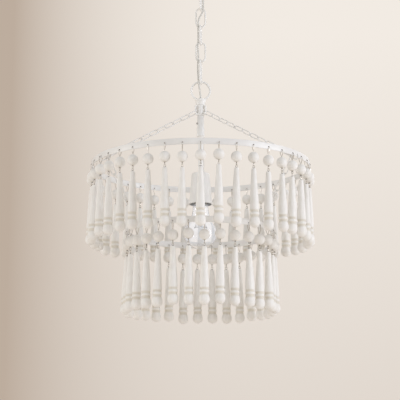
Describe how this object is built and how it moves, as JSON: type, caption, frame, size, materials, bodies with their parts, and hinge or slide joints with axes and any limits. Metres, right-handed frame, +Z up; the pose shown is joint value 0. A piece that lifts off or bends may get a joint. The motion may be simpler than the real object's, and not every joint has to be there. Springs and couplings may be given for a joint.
{
  "type": "beaded chandelier",
  "caption": "Two-tier ceiling chandelier: turned wooden drops with round beads on wires hang from two flat steel hoops, held by small chains from a stem with one bulb, on a link chain.",
  "frame": {"origin": "middle of the ceiling plane, where the crossbar's top face meets the ceiling box; the fixture hangs below", "axes": "+Z up, out of the ceiling; the pictured front faces -Y; +X to the right as seen from the front"},
  "size_m": [0.4288, 0.4288, 0.689],
  "materials": {
    "painted_steel": "smooth white powder coat, low gloss",
    "painted_wood": "turned wood with thin matt white paint",
    "zinc_plate": "zinc plated",
    "cap_metal": "rolled thread, bare",
    "phenolic": "black moulded phenolic",
    "clear_glass": "clear, blown",
    "cord_skin": "translucent jacket over two conductors"
  },
  "bodies": {
    "ceiling": {"ceiling_crossbar": "zinc_plate", "canopy_loop": "painted_steel", "power_cord": "cord_skin"},
    "canopy": {"ceiling_canopy": "painted_steel"},
    "collar": {"collar_nut": "painted_steel"},
    "link_1": {"chain_link_1": "painted_steel"},
    "link_2": {"chain_link_2": "painted_steel"},
    "link_3": {"chain_link_3": "painted_steel"},
    "link_4": {"chain_link_4": "painted_steel"},
    "link_5": {"chain_link_5": "painted_steel"},
    "fixture": {"fixture_loop": "painted_steel", "chain_hub": "painted_steel", "centre_stem": "painted_steel", "socket_cup": "painted_steel", "lampholder": "phenolic", "upper_hoop": "painted_steel", "lower_hoop": "painted_steel", "arm_chain_1": "painted_steel", "arm_chain_2": "painted_steel", "arm_chain_3": "painted_steel", "dropper_chain_1": "painted_steel", "dropper_chain_2": "painted_steel", "dropper_chain_3": "painted_steel"},
    "bulb": {"bulb_cap": "cap_metal", "bulb_glass": "clear_glass"},
    "upper_pair_01": {"upper_strands_01": "painted_wood"},
    "upper_pair_02": {"upper_strands_02": "painted_wood"},
    "upper_pair_03": {"upper_strands_03": "painted_wood"},
    "upper_pair_04": {"upper_strands_04": "painted_wood"},
    "upper_pair_05": {"upper_strands_05": "painted_wood"},
    "upper_pair_06": {"upper_strands_06": "painted_wood"},
    "upper_pair_07": {"upper_strands_07": "painted_wood"},
    "upper_pair_08": {"upper_strands_08": "painted_wood"},
    "upper_pair_09": {"upper_strands_09": "painted_wood"},
    "upper_pair_10": {"upper_strands_10": "painted_wood"},
    "upper_pair_11": {"upper_strands_11": "painted_wood"},
    "upper_pair_12": {"upper_strands_12": "painted_wood"},
    "upper_pair_13": {"upper_strands_13": "painted_wood"},
    "upper_pair_14": {"upper_strands_14": "painted_wood"},
    "upper_pair_15": {"upper_strands_15": "painted_wood"},
    "upper_pair_16": {"upper_strands_16": "painted_wood"},
    "upper_pair_17": {"upper_strands_17": "painted_wood"},
    "upper_pair_18": {"upper_strands_18": "painted_wood"},
    "upper_pair_19": {"upper_strands_19": "painted_wood"},
    "upper_pair_20": {"upper_strands_20": "painted_wood"},
    "lower_pair_01": {"lower_strands_01": "painted_wood"},
    "lower_pair_02": {"lower_strands_02": "painted_wood"},
    "lower_pair_03": {"lower_strands_03": "painted_wood"},
    "lower_pair_04": {"lower_strands_04": "painted_wood"},
    "lower_pair_05": {"lower_strands_05": "painted_wood"},
    "lower_pair_06": {"lower_strands_06": "painted_wood"},
    "lower_pair_07": {"lower_strands_07": "painted_wood"},
    "lower_pair_08": {"lower_strands_08": "painted_wood"},
    "lower_pair_09": {"lower_strands_09": "painted_wood"},
    "lower_pair_10": {"lower_strands_10": "painted_wood"},
    "lower_pair_11": {"lower_strands_11": "painted_wood"},
    "lower_pair_12": {"lower_strands_12": "painted_wood"},
    "lower_pair_13": {"lower_strands_13": "painted_wood"},
    "lower_pair_14": {"lower_strands_14": "painted_wood"},
    "lower_pair_15": {"lower_strands_15": "painted_wood"}
  },
  "joints": [
    {"name": "canopy_drop", "type": "slide", "parent": "ceiling", "child": "canopy", "axis": [0, 0, -1], "range_m": [0, 0.045]},
    {"name": "collar_turn", "type": "hinge", "parent": "canopy", "child": "collar", "pos_m": [0, 0, -0.0258], "axis": [0, 0, 1], "continuous": true},
    {"name": "link_1_swing", "type": "hinge", "parent": "ceiling", "child": "link_1", "pos_m": [0, 0, -0.0655], "axis": [1, 0, 0], "range_deg": [-15, 15], "deforming": ["power_cord"]},
    {"name": "link_2_swing", "type": "hinge", "parent": "link_1", "child": "link_2", "pos_m": [0, 0, -0.0997], "axis": [0, 1, 0], "range_deg": [-15, 15]},
    {"name": "link_3_swing", "type": "hinge", "parent": "link_2", "child": "link_3", "pos_m": [0, 0, -0.1343], "axis": [1, 0, 0], "range_deg": [-15, 15]},
    {"name": "link_4_swing", "type": "hinge", "parent": "link_3", "child": "link_4", "pos_m": [0, 0, -0.1689], "axis": [0, 1, 0], "range_deg": [-15, 15]},
    {"name": "link_5_swing", "type": "hinge", "parent": "link_4", "child": "link_5", "pos_m": [0, 0, -0.2035], "axis": [1, 0, 0], "range_deg": [-15, 15]},
    {"name": "fixture_swing", "type": "hinge", "parent": "link_5", "child": "fixture", "pos_m": [0, 0, -0.2478], "axis": [0, 1, 0], "range_deg": [-15, 15]},
    {"name": "bulb_unscrew", "type": "slide", "parent": "fixture", "child": "bulb", "axis": [0, 0, -1], "range_m": [0, 0.03]},
    {"name": "upper_pair_01_swing", "type": "hinge", "parent": "fixture", "child": "upper_pair_01", "pos_m": [0.01607, -0.20423, -0.4129], "axis": [-0.9969, -0.0785, 0], "range_deg": [-13, 25]},
    {"name": "upper_pair_02_swing", "type": "hinge", "parent": "fixture", "child": "upper_pair_02", "pos_m": [0.0784, -0.18927, -0.4129], "axis": [-0.9239, -0.3827, 0], "range_deg": [-13, 25]},
    {"name": "upper_pair_03_swing", "type": "hinge", "parent": "fixture", "child": "upper_pair_03", "pos_m": [0.13305, -0.15578, -0.4129], "axis": [-0.7604, -0.6494, 0], "range_deg": [-13, 25]},
    {"name": "upper_pair_04_swing", "type": "hinge", "parent": "fixture", "child": "upper_pair_04", "pos_m": [0.17468, -0.10704, -0.4129], "axis": [-0.5225, -0.8526, 0], "range_deg": [-13, 25]},
    {"name": "upper_pair_05_swing", "type": "hinge", "parent": "fixture", "child": "upper_pair_05", "pos_m": [0.19921, -0.04782, -0.4129], "axis": [-0.2334, -0.9724, 0], "range_deg": [-13, 25]},
    {"name": "upper_pair_06_swing", "type": "hinge", "parent": "fixture", "child": "upper_pair_06", "pos_m": [0.20423, 0.01607, -0.4129], "axis": [0.0785, -0.9969, 0], "range_deg": [-13, 25]},
    {"name": "upper_pair_07_swing", "type": "hinge", "parent": "fixture", "child": "upper_pair_07", "pos_m": [0.18927, 0.0784, -0.4129], "axis": [0.3827, -0.9239, 0], "range_deg": [-13, 25]},
    {"name": "upper_pair_08_swing", "type": "hinge", "parent": "fixture", "child": "upper_pair_08", "pos_m": [0.15578, 0.13305, -0.4129], "axis": [0.6494, -0.7604, 0], "range_deg": [-13, 25]},
    {"name": "upper_pair_09_swing", "type": "hinge", "parent": "fixture", "child": "upper_pair_09", "pos_m": [0.10704, 0.17468, -0.4129], "axis": [0.8526, -0.5225, 0], "range_deg": [-13, 25]},
    {"name": "upper_pair_10_swing", "type": "hinge", "parent": "fixture", "child": "upper_pair_10", "pos_m": [0.04782, 0.19921, -0.4129], "axis": [0.9724, -0.2334, 0], "range_deg": [-13, 25]},
    {"name": "upper_pair_11_swing", "type": "hinge", "parent": "fixture", "child": "upper_pair_11", "pos_m": [-0.01607, 0.20423, -0.4129], "axis": [0.9969, 0.0785, 0], "range_deg": [-13, 25]},
    {"name": "upper_pair_12_swing", "type": "hinge", "parent": "fixture", "child": "upper_pair_12", "pos_m": [-0.0784, 0.18927, -0.4129], "axis": [0.9239, 0.3827, 0], "range_deg": [-13, 25]},
    {"name": "upper_pair_13_swing", "type": "hinge", "parent": "fixture", "child": "upper_pair_13", "pos_m": [-0.13305, 0.15578, -0.4129], "axis": [0.7604, 0.6494, 0], "range_deg": [-13, 25]},
    {"name": "upper_pair_14_swing", "type": "hinge", "parent": "fixture", "child": "upper_pair_14", "pos_m": [-0.17468, 0.10704, -0.4129], "axis": [0.5225, 0.8526, 0], "range_deg": [-13, 25]},
    {"name": "upper_pair_15_swing", "type": "hinge", "parent": "fixture", "child": "upper_pair_15", "pos_m": [-0.19921, 0.04782, -0.4129], "axis": [0.2334, 0.9724, 0], "range_deg": [-13, 25]},
    {"name": "upper_pair_16_swing", "type": "hinge", "parent": "fixture", "child": "upper_pair_16", "pos_m": [-0.20423, -0.01607, -0.4129], "axis": [-0.0785, 0.9969, 0], "range_deg": [-13, 25]},
    {"name": "upper_pair_17_swing", "type": "hinge", "parent": "fixture", "child": "upper_pair_17", "pos_m": [-0.18927, -0.0784, -0.4129], "axis": [-0.3827, 0.9239, 0], "range_deg": [-13, 25]},
    {"name": "upper_pair_18_swing", "type": "hinge", "parent": "fixture", "child": "upper_pair_18", "pos_m": [-0.15578, -0.13305, -0.4129], "axis": [-0.6494, 0.7604, 0], "range_deg": [-13, 25]},
    {"name": "upper_pair_19_swing", "type": "hinge", "parent": "fixture", "child": "upper_pair_19", "pos_m": [-0.10704, -0.17468, -0.4129], "axis": [-0.8526, 0.5225, 0], "range_deg": [-13, 25]},
    {"name": "upper_pair_20_swing", "type": "hinge", "parent": "fixture", "child": "upper_pair_20", "pos_m": [-0.04782, -0.19921, -0.4129], "axis": [-0.9724, 0.2334, 0], "range_deg": [-13, 25]},
    {"name": "lower_pair_01_swing", "type": "hinge", "parent": "fixture", "child": "lower_pair_01", "pos_m": [0.021, -0.13563, -0.5394], "axis": [-0.9882, -0.153, 0], "range_deg": [-7, 25]},
    {"name": "lower_pair_02_swing", "type": "hinge", "parent": "fixture", "child": "lower_pair_02", "pos_m": [0.07435, -0.11536, -0.5394], "axis": [-0.8406, -0.5417, 0], "range_deg": [-7, 25]},
    {"name": "lower_pair_03_swing", "type": "hinge", "parent": "fixture", "child": "lower_pair_03", "pos_m": [0.11484, -0.07515, -0.5394], "axis": [-0.5476, -0.8368, 0], "range_deg": [-7, 25]},
    {"name": "lower_pair_04_swing", "type": "hinge", "parent": "fixture", "child": "lower_pair_04", "pos_m": [0.13548, -0.02194, -0.5394], "axis": [-0.1599, -0.9871, 0], "range_deg": [-7, 25]},
    {"name": "lower_pair_05_swing", "type": "hinge", "parent": "fixture", "child": "lower_pair_05", "pos_m": [0.13269, 0.03506, -0.5394], "axis": [0.2554, -0.9668, 0], "range_deg": [-7, 25]},
    {"name": "lower_pair_06_swing", "type": "hinge", "parent": "fixture", "child": "lower_pair_06", "pos_m": [0.10696, 0.086, -0.5394], "axis": [0.6266, -0.7793, 0], "range_deg": [-7, 25]},
    {"name": "lower_pair_07_swing", "type": "hinge", "parent": "fixture", "child": "lower_pair_07", "pos_m": [0.06273, 0.12207, -0.5394], "axis": [0.8894, -0.4571, 0], "range_deg": [-7, 25]},
    {"name": "lower_pair_08_swing", "type": "hinge", "parent": "fixture", "child": "lower_pair_08", "pos_m": [0.00766, 0.13703, -0.5394], "axis": [0.9984, -0.0558, 0], "range_deg": [-7, 25]},
    {"name": "lower_pair_09_swing", "type": "hinge", "parent": "fixture", "child": "lower_pair_09", "pos_m": [-0.04874, 0.1283, -0.5394], "axis": [0.9348, 0.3551, 0], "range_deg": [-7, 25]},
    {"name": "lower_pair_10_swing", "type": "hinge", "parent": "fixture", "child": "lower_pair_10", "pos_m": [-0.09671, 0.09738, -0.5394], "axis": [0.7096, 0.7046, 0], "range_deg": [-7, 25]},
    {"name": "lower_pair_11_swing", "type": "hinge", "parent": "fixture", "child": "lower_pair_11", "pos_m": [-0.12796, 0.04963, -0.5394], "axis": [0.3616, 0.9323, 0], "range_deg": [-7, 25]},
    {"name": "lower_pair_12_swing", "type": "hinge", "parent": "fixture", "child": "lower_pair_12", "pos_m": [-0.13708, -0.0067, -0.5394], "axis": [-0.0489, 0.9988, 0], "range_deg": [-7, 25]},
    {"name": "lower_pair_13_swing", "type": "hinge", "parent": "fixture", "child": "lower_pair_13", "pos_m": [-0.1225, -0.06188, -0.5394], "axis": [-0.4509, 0.8926, 0], "range_deg": [-7, 25]},
    {"name": "lower_pair_14_swing", "type": "hinge", "parent": "fixture", "child": "lower_pair_14", "pos_m": [-0.08674, -0.10636, -0.5394], "axis": [-0.7749, 0.632, 0], "range_deg": [-7, 25]},
    {"name": "lower_pair_15_swing", "type": "hinge", "parent": "fixture", "child": "lower_pair_15", "pos_m": [-0.03598, -0.13244, -0.5394], "axis": [-0.965, 0.2622, 0], "range_deg": [-7, 25]}
  ]
}
